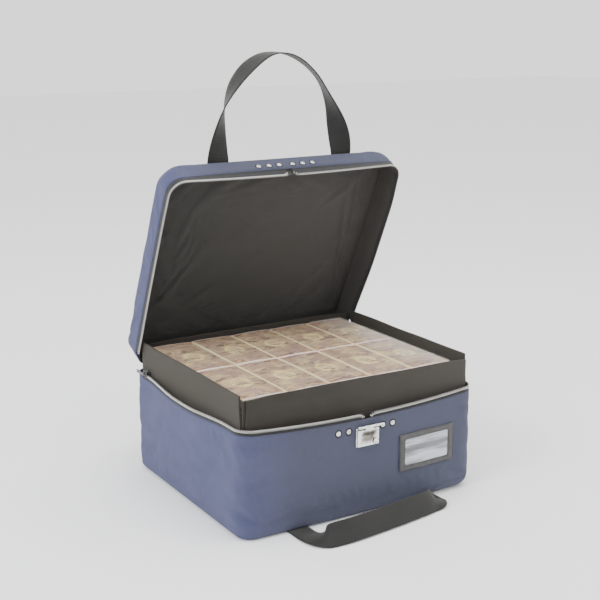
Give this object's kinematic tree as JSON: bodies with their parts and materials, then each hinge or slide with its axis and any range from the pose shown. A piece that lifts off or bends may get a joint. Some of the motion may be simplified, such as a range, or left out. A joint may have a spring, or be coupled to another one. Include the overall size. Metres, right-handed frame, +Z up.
{
  "type": "cash deposit bag",
  "caption": "Soft padded box bag with a zipped hinged lid, two webbing handles, a small front lock, a label window and a removable load of wrapped note bricks.",
  "frame": {"origin": "centre of the base's underside", "axes": "+Z up, +X to the right along the front wall, -Y out of the front wall; the lid stands open as at rest"},
  "size_m": [0.4428, 0.4928, 0.6941],
  "materials": {
    "blue_fabric": "woven, muted blue-violet",
    "charcoal_cloth": "charcoal lining cloth",
    "black_webbing": "ribbed webbing",
    "zip_tape": "woven zip tape",
    "zip_coil": "satin zip coil",
    "chrome": "polished",
    "dark_washer": "dark washer",
    "backing_steel": "plain strip",
    "slider_metal": "satin",
    "label_vinyl": "grey-black vinyl",
    "clear_film": "clear film",
    "stiffener": "sheet stiffener",
    "banknote_paper": "stacked paper; wood stands in for paper"
  },
  "bodies": {
    "bag_body": {"base_skin": "blue_fabric", "front_wall_skin": "blue_fabric", "back_wall_skin": "blue_fabric", "left_wall_skin": "blue_fabric", "right_wall_skin": "blue_fabric", "front_liner_board": "charcoal_cloth", "back_liner_board": "charcoal_cloth", "left_liner_board": "charcoal_cloth", "right_liner_board": "charcoal_cloth", "base_liner_board": "charcoal_cloth", "zip_tape_body_left": "zip_tape", "zip_tape_body_right": "zip_tape", "zip_coil_body_left": "zip_coil", "zip_coil_body_right": "zip_coil", "back_hinge_piping": "zip_tape", "rivets_body": "chrome", "rivet_rings_body": "dark_washer", "rivet_backing_body": "backing_steel", "lock_base_plate": "chrome", "lock_hinge_pin": "chrome", "label_pocket_back": "label_vinyl", "label_frame": "label_vinyl", "label_window_film": "clear_film", "base_handle_tab_left": "black_webbing", "base_handle_tab_right": "black_webbing"},
    "lid": {"lid_panel_skin": "blue_fabric", "lid_front_wall_skin": "blue_fabric", "lid_back_wall_skin": "blue_fabric", "lid_left_wall_skin": "blue_fabric", "lid_right_wall_skin": "blue_fabric", "lid_board": "stiffener", "lid_panel_lining": "charcoal_cloth", "lid_wall_lining": "charcoal_cloth", "zip_tape_lid_left": "zip_tape", "zip_tape_lid_right": "zip_tape", "zip_coil_lid_left": "zip_coil", "zip_coil_lid_right": "zip_coil", "rivets_lid": "chrome", "rivet_rings_lid": "dark_washer", "rivet_backing_lid": "backing_steel", "lid_handle_tab_left": "black_webbing", "lid_handle_tab_right": "black_webbing"},
    "lid_handle": {"lid_handle_webbing": "black_webbing"},
    "base_handle": {"base_handle_webbing": "black_webbing"},
    "slider_left": {"zip_slider_left": "slider_metal"},
    "slider_right": {"zip_slider_right": "slider_metal"},
    "puller_left": {"zip_puller_left": "slider_metal"},
    "puller_right": {"zip_puller_right": "slider_metal"},
    "lock_cover": {"lock_cover": "chrome"},
    "lock_knob": {"lock_knob": "chrome"},
    "cash_lower_layer": {"banknote_bricks_lower": "banknote_paper"},
    "cash_upper_layer": {"banknote_bricks_upper": "banknote_paper", "shrink_film": "clear_film"}
  },
  "joints": [
    {"name": "lid_hinge", "type": "hinge", "parent": "bag_body", "child": "lid", "pos_m": [0, 0.1835, 0.174], "axis": [-1, 0, 0], "range_deg": [-64.5, 100]},
    {"name": "lid_handle_swing", "type": "hinge", "parent": "lid", "child": "lid_handle", "pos_m": [0, 0.081, 0.51898], "axis": [-1, 0, 0], "range_deg": [-25.5, 104]},
    {"name": "base_handle_swing", "type": "hinge", "parent": "bag_body", "child": "base_handle", "pos_m": [0, -0.189, 0.0014], "axis": [-1, 0, 0], "range_deg": [0, 45]},
    {"name": "zip_run_left", "type": "slide", "parent": "bag_body", "child": "slider_left", "axis": [0, -1, 0], "range_m": [0, 0.28]},
    {"name": "zip_run_right", "type": "slide", "parent": "bag_body", "child": "slider_right", "axis": [0, -1, 0], "range_m": [0, 0.28]},
    {"name": "puller_swing_left", "type": "hinge", "parent": "slider_left", "child": "puller_left", "pos_m": [-0.2195, 0.145, 0.174], "axis": [0, 0, 1], "range_deg": [0, 170]},
    {"name": "puller_swing_right", "type": "hinge", "parent": "slider_right", "child": "puller_right", "pos_m": [0.2195, 0.145, 0.174], "axis": [0, 0, -1], "range_deg": [0, 170]},
    {"name": "lock_cover_hinge", "type": "hinge", "parent": "bag_body", "child": "lock_cover", "pos_m": [0, -0.1938, 0.146], "axis": [-1, 0, 0], "range_deg": [0, 110]},
    {"name": "lock_knob_turn", "type": "hinge", "parent": "lock_cover", "child": "lock_knob", "pos_m": [0.011, -0.1933, 0.12], "axis": [0, -1, 0], "range_deg": [0, 90]},
    {"name": "cash_lower_lift", "type": "slide", "parent": "bag_body", "child": "cash_lower_layer", "axis": [0, 0, 1], "range_m": [0, 0.11]},
    {"name": "cash_upper_lift", "type": "slide", "parent": "cash_lower_layer", "child": "cash_upper_layer", "axis": [0, 0, 1], "range_m": [0, 0.11]}
  ]
}
